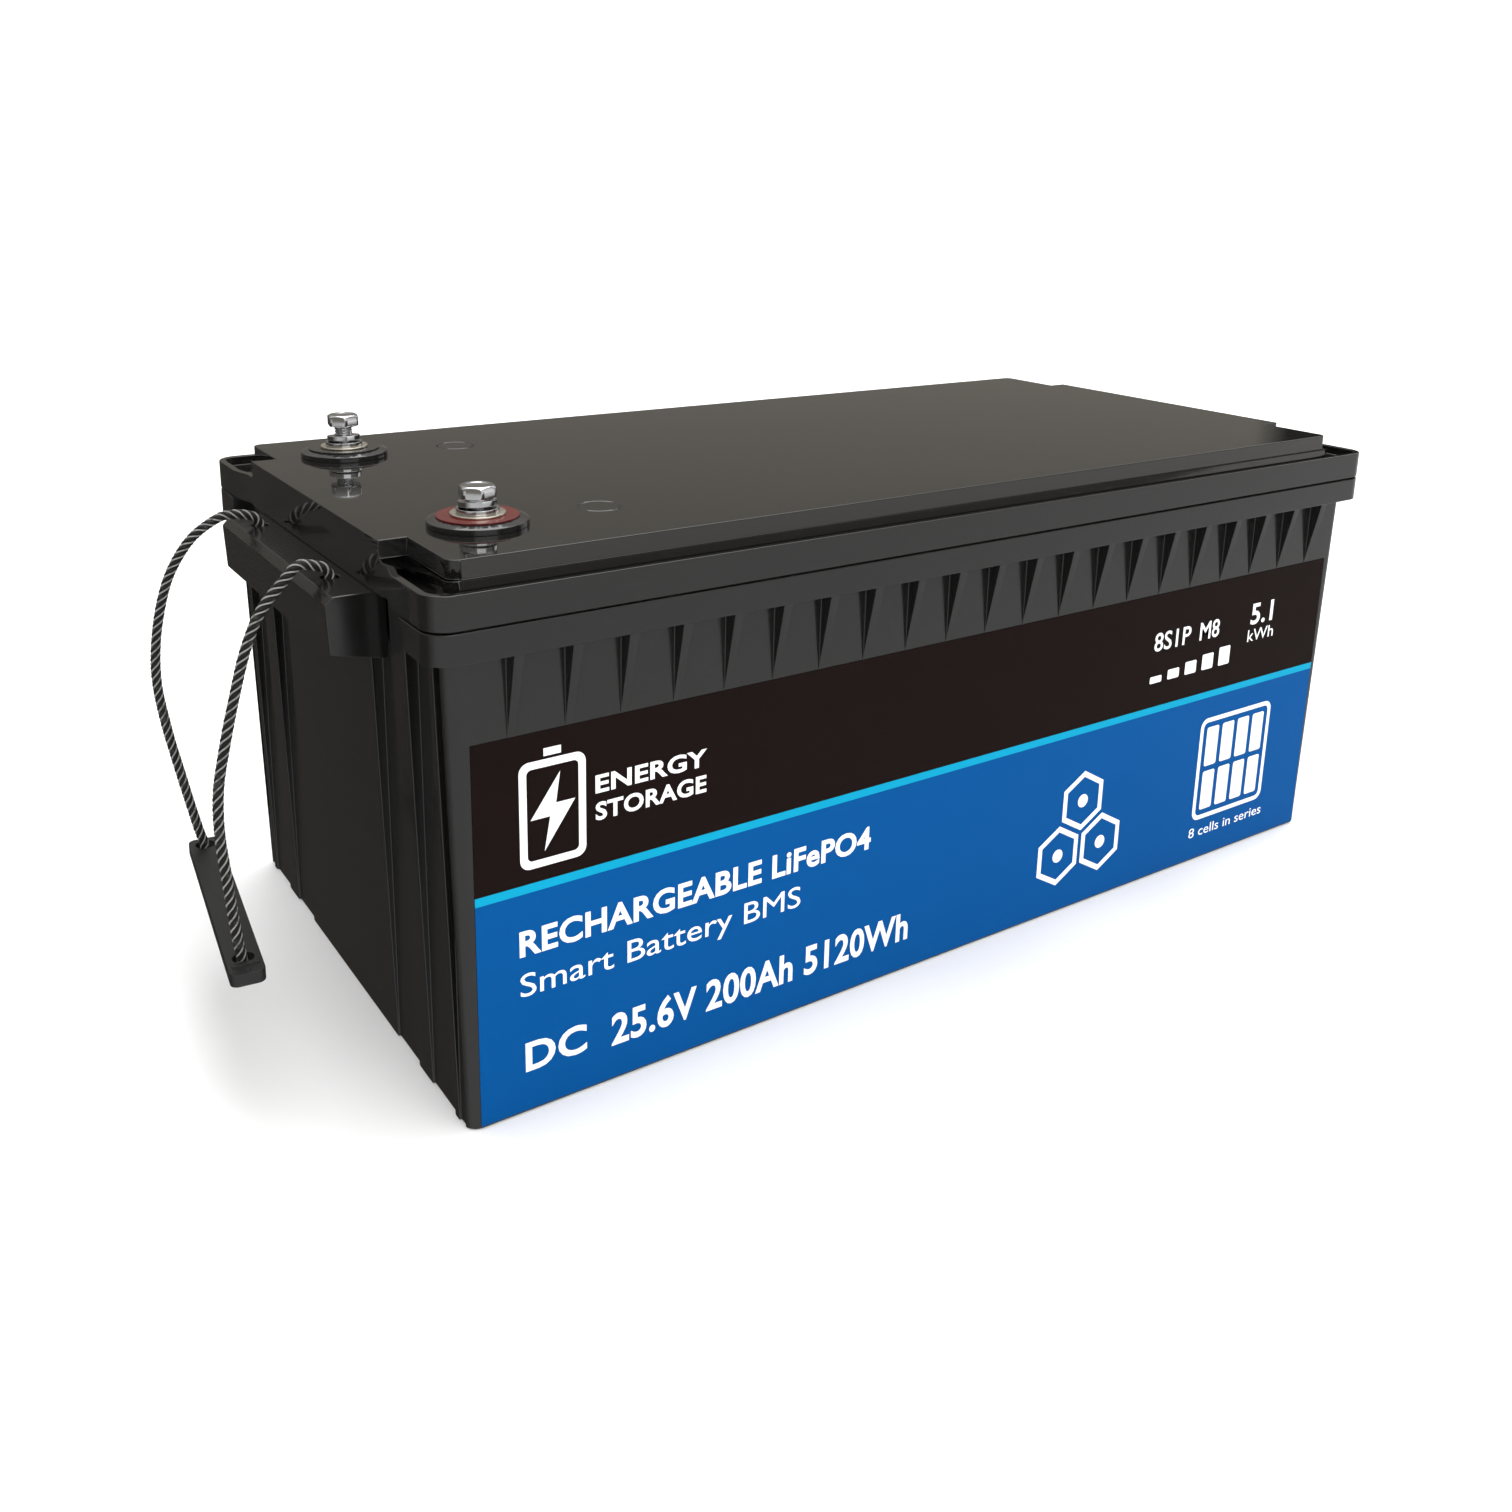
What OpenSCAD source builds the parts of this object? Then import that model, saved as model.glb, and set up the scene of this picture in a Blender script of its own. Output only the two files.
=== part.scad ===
// A sealed rechargeable battery in a deep plastic case. It has a raised lid,
// two bolted terminals, a printed label and a rope handle at each end.
// X runs along the length, Y across the width with the label at -Y, and the
// case stands on Z 0. Every size is in millimetres.

/* [Case] */
// length over the rim of the case
case_length = 522; // [520:1:540]
// width over the rim of the case
case_width = 268; // [268:1:288]
// height from the floor to the top of the lid
case_height = 219; // [218:0.5:230]
// radius of the corners of the rim and the lid
corner_radius = 10; // [7:1:14]
// thickness of the case floor
floor_thickness = 4; // [3:0.5:4]
// how far each end wall leans in between the rim and the floor
end_lean = 4.4; // [2:0.2:6]
// number of fins under the rim on each long side
fin_count = 21; // [11:2:21]
// distance between neighbouring fins
fin_pitch = 22.9; // [20:0.1:23]

/* [Label] */
// height of the top edge of the label above the floor
label_top = 154; // [120:1:154]
// thickness of the label film
label_thickness = 0.4; // [0.2:0.1:0.8]

/* [Terminals] */
// distance of each terminal from the middle of the length
terminal_x = 217; // [214:1:222]
// distance of each terminal from the middle of the width
terminal_y = 75; // [65:1:80]
// thread diameter of the terminal bolts
bolt_diameter = 8; // [6:1:8]
// how far the negative bolt stands screwed out
negative_lift = 3.75; // [0:0.25:6]

/* [Cells] */
// thickness of one cell along X
cell_thickness = 53.7; // [52:0.1:53.7]
// height of one cell lying on its side, along Y
cell_depth = 207; // [195:1:207]
// width of one cell standing up along Z
cell_width = 174; // [165:1:174]

/* [Handles] */
// diameter of the rope
rope_diameter = 4.2; // [4:0.1:5]
// width of the hand grip
grip_width = 13; // [12:1:16]
// length of the hand grip
grip_length = 121; // [118:1:125]

/* [Hidden] */
$fn = 64;

// case and lid levels, all set from the top of the lid
lid_step_z = case_height - 7;
lip_z = case_height - 7.5;
gutter_z = case_height - 11.7;
seam_z = case_height - 21;
seam_gap = 0.8;
seam_inset = 0.7;
rim_bottom_z = seam_z - 11.5;
ledge_bottom_z = seam_z - 22;

rim_x = case_length / 2;
rim_y = case_width / 2;
wall_x = rim_x - 6.6;
wall_y = rim_y - 7;
wall_corner = 6;
lean_angle = atan(end_lean / rim_bottom_z);
cavity_x = rim_x - 19;
cavity_low_y = wall_y - 3;
cavity_high_y = wall_y - 8;
cavity_step_z = 150;

// fins stand proud under the rim and run out to nothing at the label top
fin_bottom_z = 154;
fin_rise = 6.2;
fin_foot = 2.8;
fin_width = 4.8;

// grooves in the end walls: each pair is the near and far edge from the middle
end_grooves = [[55, 78], [92, 114], [118, 123]];
groove_depth = 5.4;

// the block at each end that holds the rope
ledge_x = rim_x + 15;
ledge_front_y = -72.5;
ledge_back_y = 66;
ledge_root_x = wall_x - 1.4;
ledge_bevel = 3;
hinge_x = rim_x + 16;
rope_hole_x = rim_x + 4;
rope_hole_y = 46;
rope_hole_diameter = 7;
knot_pocket_z = seam_z - 8;
rim_gap_top_y = 105;
rim_gap_low_y = 110;

lip_width = 3;
notch_depth = 3;
notch_y = 88;
notch_reach = 24;
plateau_x = rim_x - 14;
plateau_y = rim_y - 15.5;
plateau_corner = 4;
plateau_step = 1.5;
plateau_slope = 1.2;
slope_x = plateau_x - plateau_corner;
tab_x = rim_x - 3;
tab_y = 80;
lid_roof = 4;

seal_x = cavity_x + 4.5;
seal_y = cavity_high_y + 5;
seal_width = 3;
seal_height = 1.5;

// terminal stack levels
collar_z = case_height + 3.3;
ring_z = collar_z + 0.6;
pad_z = ring_z + 0.9;
flat_washer_z = pad_z + 1.8;
spring_height = 2.1;
spring_tilt = 4.5;
spring_rise = 14.6 * sin(spring_tilt);
head_z = flat_washer_z + spring_height + spring_rise + 0.05;
head_height = 5.3;
head_flats = 1.625 * bolt_diameter;
shank_length = 20;
bushing_bottom_z = case_height - 24;
bushing_radius = 8.5;
bore_gap = 0.05;

// inner pack: the cells lie on their sides with the studs towards the label
cell_count = 8;
sheet_thickness = 0.5;
cell_step = cell_thickness + sheet_thickness;
plate_thickness = 3;
band_thickness = 0.8;
pad_thickness = 3;
pack_right = cavity_x - 1.2 - band_thickness - plate_thickness;
pack_left = pack_right - cell_count * cell_step + sheet_thickness;
cell_front_y = -101;
cell_back_y = cell_front_y + cell_depth;
cell_bottom_z = floor_thickness + pad_thickness;
cell_top_z = cell_bottom_z + cell_width;
stud_low_z = cell_bottom_z + 29;
stud_high_z = cell_top_z - 29;
stud_diameter = 6;
boss_height = 3;
busbar_thickness = 3;
nut_height = 5;
band_levels = [cell_bottom_z + 60, cell_top_z - 60];
band_width = 16;

// battery management unit on the left end plate
board_y = 84;
board_bottom_z = cell_bottom_z + 40;
board_top_z = cell_top_z - 12;
tray_x = pack_left - plate_thickness - band_thickness;
tray_thickness = 3;
post_height = 4;
board_x = tray_x - tray_thickness - post_height;
board_thickness = 1.6;
sink_x = board_x - board_thickness;
sink_base = 3;
sink_depth = 14;
screw_y = board_y - 6;
screw_inset_z = 6;
cable_diameter = 8;
lug_thickness = 2;
lug_radius = 9;
harness_y = -74;
harness_width = 12;
ribbon_z = cell_top_z + 1.2;

// the moving part of each rope hangs from a line along Y at the ledge edge
pivot_z = seam_z + 3;
root_bend = 6;
root_angle = 30;
grip_centre = [-rim_x - 43.6, -10, pivot_z - 146];
grip_turn = -6.3;
grip_height = 5;
grip_front_hole = -48.3;
grip_back_hole = 54;
channel_width = rope_diameter - 0.2;
channel_roof = 1.4;
rope_sides = 10;

// rope route of the left handle: X and Z from the hinge line, Y from the middle
back_leg = [
  [-6, 46, 1.8],
  [-16.3, 46, -4.9],
  [-24.4, 46, -15.6],
  [-29.7, 46, -27.8],
  [-33.9, 45.7, -45.6],
  [-35.4, 45.4, -64],
  [-33.4, 45, -84.3],
  [-29.1, 44.5, -108.8],
  [-24.3, 44, -133.6]
];
back_turn = [
  [-22.4, 43.6, -141.5],
  [-21.9, 42.5, -145.6],
  [-22.2, 38.8, -147]
];
grip_run = [
  [-24.1, 22, -147],
  [-28, -14, -147]
];
front_turn = [
  [-32, -51, -147],
  [-32.9, -56.2, -145.6],
  [-33.6, -58, -141.8]
];
front_leg = [
  [-34.8, -58.4, -133],
  [-36.4, -58, -112.4],
  [-37.6, -56.8, -92.3],
  [-36.6, -55.2, -76.2],
  [-32.9, -53.2, -60.7],
  [-27.7, -51.2, -42.8],
  [-21.7, -49.4, -24.8],
  [-15.1, -48, -12],
  [-6.2, -46.6, -2.6]
];

case_colour = "#2e2d2c";
lid_colour = "#32302f";
steel_colour = "#b9bcbf";
brass_colour = "#c8a96a";
copper_colour = "#b8733a";
cell_colour = "#2f5f9e";
foam_colour = "#55575a";

// ---- shared shapes ----

module rounded_rect(x, y, r) {
  square([x - 2 * r, y], center = true);
  square([x, y - 2 * r], center = true);
  for (sx = [-1, 1])
    for (sy = [-1, 1])
      translate([sx * (x / 2 - r), sy * (y / 2 - r)])
        circle(r);
}

module rounded_block(x, y, r, z0, z1) {
  translate([0, 0, z0])
    linear_extrude(z1 - z0)
      rounded_rect(x, y, r);
}

module box(from, to) {
  translate(from)
    cube(to - from);
}

module both_ends() {
  children();
  mirror([1, 0, 0])
    children();
}

module both_sides() {
  children();
  mirror([0, 1, 0])
    children();
}

module disc(r, z0, z1) {
  translate([0, 0, z0])
    cylinder(r = r, h = z1 - z0);
}

module washer(r_out, r_in, z0, z1) {
  difference() {
    disc(r_out, z0, z1);
    disc(r_in, z0 - 1, z1 + 1);
  }
}

// a tube along a list of points, with its rings carried along without twisting
function unit(v) = v / norm(v);
function tangent(p, i) = unit(p[min(i + 1, len(p) - 1)] - p[max(i - 1, 0)]);
function carried(n, t) = unit(n - (n * t) * t);
function sides_of(p, n, i = 0) =
  let (m = carried(n, tangent(p, i)))
  i == len(p) - 1 ? [m] : concat([m], sides_of(p, m, i + 1));
function ring_points(p, n, r, k) = [
  for (i = [0 : len(p) - 1])
    for (j = [0 : k - 1])
      let (a = 360 * j / k)
        p[i] + r * (cos(a) * n[i] + sin(a) * cross(tangent(p, i), n[i]))
];

module tube(p, r, k) {
  last = (len(p) - 1) * k;
  walls = [
    for (i = [0 : len(p) - 2])
      for (j = [0 : k - 1])
        let (a = i * k + j, b = i * k + (j + 1) % k)
          each [[a, a + k, b], [b, a + k, b + k]]
  ];
  start_cap = [for (j = [0 : k - 1]) j];
  end_cap = [for (j = [k - 1 : -1 : 0]) last + j];
  polyhedron(ring_points(p, sides_of(p, [0, 1, 0]), r, k), concat(walls, [start_cap, end_cap]), 10);
}

// ---- case ----

module leaning_block() {
  translate([-wall_x, 0, rim_bottom_z])
    rotate([0, -lean_angle, 0])
      translate([case_length / 2, 0, -case_height - 20])
        linear_extrude(case_height + 60)
          rounded_rect(case_length, 2 * wall_y, wall_corner);
}

// the floor of a groove is upright, so it gets shallower as the wall leans in
module end_groove(y0, y1) {
  box([-rim_x, y0, -1], [-wall_x + groove_depth, y1, seam_z + 1]);
}

module case_walls() {
  difference() {
    intersection() {
      leaning_block();
      mirror([1, 0, 0])
        leaning_block();
      box([-rim_x, -rim_y, 0], [rim_x, rim_y, seam_z]);
    }
    both_ends()
      both_sides()
        for (g = end_grooves)
          end_groove(g[0], g[1]);
  }
}

// the rim stops short of the rope block at each end, between the corners
module rim_gap() {
  translate([-rim_x - 1, 0, 0])
    rotate([90, 0, 90])
      linear_extrude(16)
        polygon([
          [-rim_gap_low_y, rim_bottom_z - 1],
          [rim_gap_low_y, rim_bottom_z - 1],
          [rim_gap_top_y, seam_z + 1],
          [-rim_gap_top_y, seam_z + 1]
        ]);
}

module rim() {
  difference() {
    rounded_block(case_length, case_width, corner_radius, rim_bottom_z, seam_z);
    both_ends()
      rim_gap();
  }
}

module ledge() {
  translate([0, ledge_back_y, 0])
    rotate([90, 0, 0])
      linear_extrude(ledge_back_y - ledge_front_y)
        polygon([
          [-ledge_root_x, seam_z],
          [-ledge_x + ledge_bevel, seam_z],
          [-ledge_x, seam_z - ledge_bevel],
          [-ledge_x + 1, ledge_bottom_z],
          [-ledge_root_x, ledge_bottom_z - 5]
        ]);
}

module rope_hole() {
  translate([-rope_hole_x, rope_hole_y, 0])
    disc(rope_hole_diameter / 2, knot_pocket_z - 1, seam_z + 1);
  box([-rope_hole_x - 8, rope_hole_y - 9, ledge_bottom_z - 10],
      [-rope_hole_x + 7.5, rope_hole_y + 9, knot_pocket_z]);
}

module fins() {
  for (i = [0 : fin_count - 1])
    translate([(i - (fin_count - 1) / 2) * fin_pitch - fin_foot / 2, 0, 0])
      intersection() {
        rotate([90, 0, 90])
          linear_extrude(fin_width)
            polygon([
              [-wall_y + 1, fin_bottom_z],
              [-wall_y, fin_bottom_z],
              [-wall_y - fin_rise, rim_bottom_z + 0.5],
              [-wall_y + 1, rim_bottom_z + 0.5]
            ]);
        translate([0, -wall_y + 2, 0])
          rotate([90, 0, 0])
            linear_extrude(fin_rise + 4)
              polygon([
                [0, fin_bottom_z - 1],
                [fin_foot, fin_bottom_z - 1],
                [fin_width, rim_bottom_z + 1],
                [0, rim_bottom_z + 1]
              ]);
      }
}

module seal_ring(z0, z1) {
  difference() {
    rounded_block(2 * seal_x, 2 * seal_y, 6, z0, z1);
    rounded_block(2 * (seal_x - seal_width), 2 * (seal_y - seal_width), 3, z0 - 1, z1 + 1);
  }
}

module container() {
  color(case_colour)
    difference() {
      union() {
        case_walls();
        both_sides()
          fins();
        rim();
        both_ends()
          ledge();
      }
      rounded_block(2 * cavity_x, 2 * cavity_low_y, 4, floor_thickness, cavity_step_z);
      rounded_block(2 * cavity_x, 2 * cavity_high_y, 4, cavity_step_z - 1, seam_z + 1);
      seal_ring(seam_z - seal_height, seam_z + 1);
      both_ends()
        both_sides()
          rope_hole();
    }
}

// ---- lid ----

module lid_outline(inset) {
  x = tab_x - inset;
  difference() {
    rounded_rect(case_length - 2 * inset, case_width - 2 * inset, corner_radius - inset);
    both_ends()
      polygon([
        [-x - 2 * notch_depth, -notch_y - notch_reach],
        [-x, -notch_y],
        [-x, notch_y],
        [-x - 2 * notch_depth, notch_y + notch_reach]
      ]);
  }
}

module plateau_outline(grow) {
  rounded_rect(2 * (plateau_x + grow), 2 * (plateau_y + grow), plateau_corner);
  square([2 * tab_x, 2 * (tab_y + grow)], center = true);
}

module terminal_spots() {
  for (y = [-terminal_y, terminal_y])
    translate([-terminal_x, y, 0])
      children();
}

// a long side of the raised part, leaning outwards as it goes down
module side_slope(reach, y, z0, z1) {
  translate([-reach, 0, 0])
    rotate([90, 0, 90])
      linear_extrude(2 * reach)
        polygon([
          [-y + 1, z0],
          [-y - plateau_slope, z0],
          [-y, z1],
          [-y + 1, z1]
        ]);
}

module lid() {
  color(lid_colour)
    difference() {
      union() {
        translate([0, 0, seam_z])
          linear_extrude(2 * seam_gap)
            lid_outline(seam_inset);
        translate([0, 0, seam_z + seam_gap])
          linear_extrude(gutter_z - seam_z - seam_gap)
            lid_outline(0);
        translate([0, 0, gutter_z - 1])
          linear_extrude(lip_z - gutter_z + 1)
            difference() {
              lid_outline(0);
              lid_outline(lip_width);
            }
        translate([0, 0, seam_z])
          linear_extrude(lid_step_z - seam_z)
            plateau_outline(plateau_step);
        both_sides() {
          side_slope(slope_x, plateau_y, lid_step_z, case_height);
          side_slope(slope_x + plateau_step, plateau_y + plateau_step, gutter_z, lid_step_z);
        }
        translate([0, 0, seam_z])
          linear_extrude(case_height - seam_z)
            plateau_outline(0);
      }
      rounded_block(2 * cavity_x, 2 * (plateau_y - lid_roof), 4, seam_z - 1, case_height - lid_roof);
      terminal_spots()
        disc(bushing_radius, seam_z, case_height + 1);
      for (y = [-72, 72])
        translate([-164, y, 0])
          washer(9, 8.2, case_height - 0.4, case_height);
    }
}

module label() {
  color("#1b1a1c")
    box([-rim_x + 16, -wall_y - label_thickness, 1], [rim_x - 16, -wall_y, label_top]);
}

module lid_seal() {
  color("#161616")
    seal_ring(seam_z - seal_height, seam_z);
}

// ---- terminals ----

module bushing() {
  color(brass_colour)
    difference() {
      union() {
        disc(bushing_radius, bushing_bottom_z, ring_z);
        disc(10.5, ring_z, pad_z);
        disc(12, case_height - 10, case_height - 6);
      }
      disc(bolt_diameter / 2 + bore_gap, bushing_bottom_z + 4, pad_z + 1);
    }
}

module terminal_seal() {
  color("#1a1a1a")
    washer(12, bushing_radius, case_height - 6, case_height - lid_roof);
}

module collar() {
  color("#141414")
    difference() {
      union() {
        disc(19.3, case_height, collar_z - 1.1);
        translate([0, 0, collar_z - 1.1])
          cylinder(r1 = 19.3, r2 = 16.2, h = 1.1);
      }
      disc(bushing_radius, case_height - 1, collar_z + 1);
    }
}

module polarity_ring(tint) {
  color(tint)
    washer(15.7, bushing_radius, collar_z, ring_z);
}

module flat_washer() {
  color(steel_colour)
    washer(8.2, bolt_diameter / 2 + 0.3, pad_z, flat_washer_z);
}

module spring_washer() {
  color(steel_colour)
    translate([0, 0, flat_washer_z + spring_rise / 2 + 0.02])
      rotate([-spring_tilt, 0, 0])
        difference() {
          washer(7.3, bolt_diameter / 2 + 0.35, 0, spring_height);
          rotate([0, 0, 25])
            box([-0.5, 2, -1], [0.5, 9, spring_height + 1]);
        }
}

module bolt() {
  corner_radius_hex = head_flats / 2 / cos(30);
  color(steel_colour) {
    intersection() {
      translate([0, 0, head_z])
        rotate([0, 0, 18])
          cylinder(r = corner_radius_hex, h = head_height, $fn = 6);
      translate([0, 0, head_z])
        cylinder(r1 = corner_radius_hex + 4, r2 = head_flats / 2 - 0.2, h = head_height);
    }
    disc(bolt_diameter / 2, head_z - shank_length, head_z);
  }
}

module at_positive() {
  translate([-terminal_x, -terminal_y, 0])
    children();
}

module at_negative() {
  translate([-terminal_x, terminal_y, 0])
    children();
}

// ---- cells and the frame round them ----

module cell(i) {
  x0 = cell_start(i);
  color(cell_colour)
    box([x0, cell_front_y, cell_bottom_z], [x0 + cell_thickness, cell_back_y, cell_top_z]);
  color(steel_colour)
    for (z = [stud_low_z, stud_high_z])
      translate([cell_middle(i), cell_front_y, z])
        rotate([90, 0, 0]) {
          disc(9, 0, boss_height);
          disc(stud_diameter / 2, 0, boss_height + busbar_thickness + nut_height + 1);
        }
}

module cell_insulators() {
  color("#cfc7b0")
    for (i = [1 : cell_count - 1])
      box([pack_left + i * cell_step - sheet_thickness, cell_front_y + 3, cell_bottom_z + 1],
          [pack_left + i * cell_step, cell_back_y - 3, cell_top_z - 1]);
}

module end_plate(x0) {
  color("#9a9da0")
    box([x0, cell_front_y, cell_bottom_z], [x0 + plate_thickness, cell_back_y, cell_top_z]);
}

module compression_bands() {
  x0 = pack_left - plate_thickness;
  x1 = pack_right + plate_thickness;
  color(steel_colour)
    for (z = band_levels)
      difference() {
        box([x0 - band_thickness, cell_front_y - band_thickness, z - band_width / 2],
            [x1 + band_thickness, cell_back_y + band_thickness, z + band_width / 2]);
        box([x0, cell_front_y, z - band_width], [x1, cell_back_y, z + band_width]);
      }
}

module foam_base() {
  color(foam_colour)
    box([pack_left - plate_thickness, cell_front_y, floor_thickness],
        [pack_right + plate_thickness, cell_back_y, cell_bottom_z]);
}

module foam_back() {
  color(foam_colour)
    box([pack_left, cell_back_y + band_thickness, floor_thickness],
        [pack_right, cavity_high_y, cell_top_z]);
}

function cell_start(i) = pack_right - (cell_count + 1 - i) * cell_step + sheet_thickness;
function cell_middle(i) = cell_start(i) + cell_thickness / 2;
function link_level(i) = i % 2 == 1 ? stud_low_z : stud_high_z;

module stud_hole(i, z) {
  translate([cell_middle(i), cell_front_y, z])
    rotate([90, 0, 0])
      disc(stud_diameter / 2, 0, 30);
}

module busbars() {
  y1 = cell_front_y - boss_height;
  color(copper_colour)
    for (i = [1 : cell_count - 1])
      difference() {
        box([cell_middle(i) - 10, y1 - busbar_thickness, link_level(i) - 10],
            [cell_middle(i + 1) + 10, y1, link_level(i) + 10]);
        stud_hole(i, link_level(i));
        stud_hole(i + 1, link_level(i));
      }
}

module busbar_nuts() {
  y1 = cell_front_y - boss_height - busbar_thickness;
  color(steel_colour)
    for (i = [1 : cell_count])
      for (z = [stud_low_z, stud_high_z])
        difference() {
          translate([cell_middle(i), y1, z])
            rotate([90, 0, 0])
              cylinder(r = 5.77, h = nut_height, $fn = 6);
          stud_hole(i, z);
        }
}

// the positive cable runs from a lug under the bushing to the last cell's stud
module positive_cable() {
  last_x = cell_middle(cell_count);
  cable_z = bushing_bottom_z - lug_thickness - cable_diameter / 2 + 1;
  y1 = cell_front_y - boss_height;
  color("#a3251f")
    difference() {
      union() {
        at_positive()
          disc(lug_radius, bushing_bottom_z - lug_thickness, bushing_bottom_z);
        translate([-terminal_x, -terminal_y, cable_z])
          rotate([0, 90, 0])
            cylinder(d = cable_diameter, h = terminal_x + last_x);
        translate([last_x, -terminal_y + cable_diameter / 2, cable_z])
          rotate([90, 0, 0])
            cylinder(d = cable_diameter, h = -terminal_y + cable_diameter / 2 - y1 + busbar_thickness);
        box([last_x - 6, y1 - busbar_thickness, stud_high_z - 9], [last_x + 6, y1, cable_z + 1]);
      }
      stud_hole(cell_count, stud_high_z);
    }
}

// the negative cable drops from a lug under the bushing to a foot on the board
module negative_cable() {
  foot_z = board_top_z - 20;
  color("#1d1d1f") {
    at_negative()
      disc(lug_radius, bushing_bottom_z - lug_thickness, bushing_bottom_z);
    translate([-terminal_x, terminal_y, foot_z])
      cylinder(d = cable_diameter, h = bushing_bottom_z - lug_thickness - foot_z);
    box([-terminal_x, terminal_y - 4, foot_z], [sink_x, terminal_y + 4, foot_z + 8]);
  }
}

// an angled strap joins the first cell's free stud to the board
module board_strap() {
  y1 = cell_front_y - boss_height;
  color(copper_colour)
    difference() {
      union() {
        box([sink_x - busbar_thickness, y1 - busbar_thickness, stud_high_z - 9],
            [cell_middle(1) + 10, y1, stud_high_z + 6]);
        box([sink_x - busbar_thickness, y1 - 1, stud_high_z - 9], [sink_x, -screw_y + 2, stud_high_z + 6]);
      }
      stud_hole(1, stud_high_z);
    }
}

// ---- battery management unit ----

module board_corners() {
  for (y = [-screw_y, screw_y])
    for (z = [board_bottom_z + screw_inset_z, board_top_z - screw_inset_z])
      translate([0, y, z])
        rotate([0, -90, 0])
          children();
}

module bms_tray() {
  color("#a5a8ab")
    difference() {
      union() {
        box([tray_x - tray_thickness, -board_y, board_bottom_z], [tray_x, board_y, board_top_z]);
        board_corners()
          disc(3.5, -tray_x, -board_x);
      }
      board_corners()
        disc(1.5, -tray_x + 1, -board_x + 1);
    }
}

module bms_board() {
  color("#1f6a3a")
    difference() {
      box([board_x - board_thickness, -board_y, board_bottom_z], [board_x, board_y, board_top_z]);
      board_corners()
        disc(1.5, -board_x - 1, -sink_x + 1);
    }
}

module bms_heatsink() {
  color("#8d9093") {
    box([sink_x - sink_base, -60, board_bottom_z + 14], [sink_x, 60, board_top_z - 24]);
    for (i = [0 : 9])
      box([sink_x - sink_depth, -58 + i * 12.6, board_bottom_z + 14],
          [sink_x - sink_base, -55.5 + i * 12.6, board_top_z - 24]);
  }
}

module bms_screws() {
  color(steel_colour)
    board_corners() {
      disc(1.5, -tray_x + 1, -sink_x);
      disc(2.8, -sink_x, -sink_x + 2);
    }
}

module wireless_module() {
  color("#c9ccd0")
    box([sink_x - 3, -30, board_top_z - 20], [sink_x, -8, board_top_z - 6]);
}

module sense_harness() {
  color("#e6d9a8") {
    box([sink_x - 2, harness_y, board_top_z - 24], [sink_x, harness_y + harness_width, ribbon_z]);
    box([sink_x - 2, harness_y, cell_top_z], [pack_right - 10, harness_y + harness_width, ribbon_z]);
    for (i = [1 : cell_count])
      box([cell_middle(i) + 10, cell_front_y + 1, cell_top_z],
          [cell_middle(i) + 14, harness_y + 1, ribbon_z]);
  }
}

module temperature_sensor() {
  color("#101010")
    box([cell_middle(4) - 6, 10, cell_top_z], [cell_middle(4) + 6, 18, cell_top_z + 3]);
}

// ---- rope handles ----

module rope_root() {
  bend_z = seam_z - 1;
  translate([-rope_hole_x, 0, 0])
    disc(rope_diameter / 2, knot_pocket_z, bend_z);
  translate([-rope_hole_x - root_bend, 0, bend_z])
    rotate([90, 0, 0])
      rotate_extrude(angle = root_angle)
        translate([root_bend, 0])
          circle(rope_diameter / 2);
}

module left_rope_roots() {
  color("#6d6a66")
    for (y = [-rope_hole_y, rope_hole_y])
      translate([0, y, 0])
        rope_root();
}

module left_knots() {
  color("#5f5c58")
    for (y = [-rope_hole_y, rope_hole_y])
      translate([-rope_hole_x, y, 0])
        intersection() {
          translate([0, 0, knot_pocket_z - 4])
            sphere(5.5);
          disc(7, knot_pocket_z - 12, knot_pocket_z);
        }
}

module left_rope_loop() {
  route = concat(back_leg, back_turn, grip_run, front_turn, front_leg);
  color("#6d6a66")
    tube([for (q = route) [q[0] - hinge_x, q[1], q[2] + pivot_z]], rope_diameter / 2, rope_sides);
}

module left_grip() {
  half = grip_height / 2;
  groove_half = channel_width / 2;
  bar_half = grip_width / 2 - 1.5;
  color("#3a3a3a")
    translate(grip_centre)
      rotate([0, 0, grip_turn])
        difference() {
          union() {
            rounded_block(grip_width, grip_length, 3, -half, half);
            box([-bar_half, grip_front_hole - 6.5, half], [bar_half, grip_front_hole - 4.3, half + 0.8]);
            translate([0, grip_front_hole - 9.5, 0])
              disc(1.2, half, half + 0.6);
          }
          box([-groove_half, grip_front_hole, -half - 1], [groove_half, grip_back_hole, half - channel_roof]);
          for (y = [grip_front_hole, grip_back_hole])
            translate([0, y, 0])
              disc(4, -half - 1, half + 2);
        }
}

module mirrored() {
  mirror([1, 0, 0])
    children();
}

// ---- parts ----

container();
lid();
label();
lid_seal();
cell(1);  // cell_1
cell(2);  // cell_2
cell(3);  // cell_3
cell(4);  // cell_4
cell(5);  // cell_5
cell(6);  // cell_6
cell(7);  // cell_7
cell(8);  // cell_8
cell_insulators();
end_plate(pack_left - plate_thickness);  // end_plate_left
end_plate(pack_right);  // end_plate_right
compression_bands();
foam_base();
foam_back();
busbars();
busbar_nuts();
positive_cable();
negative_cable();
board_strap();
bms_tray();
bms_board();
bms_heatsink();
bms_screws();
wireless_module();
sense_harness();
temperature_sensor();
at_positive() bushing();  // positive_bushing
at_positive() terminal_seal();  // positive_seal
at_positive() collar();  // positive_collar
at_positive() polarity_ring("#b3241c");  // positive_ring
at_positive() flat_washer();  // positive_flat_washer
at_positive() spring_washer();  // positive_spring_washer
at_positive() bolt();  // positive_bolt
at_negative() bushing();  // negative_bushing
at_negative() terminal_seal();  // negative_seal
at_negative() collar();  // negative_collar
at_negative() polarity_ring("#262626");  // negative_ring
at_negative() flat_washer();  // negative_flat_washer
at_negative() spring_washer();  // negative_spring_washer
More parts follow.
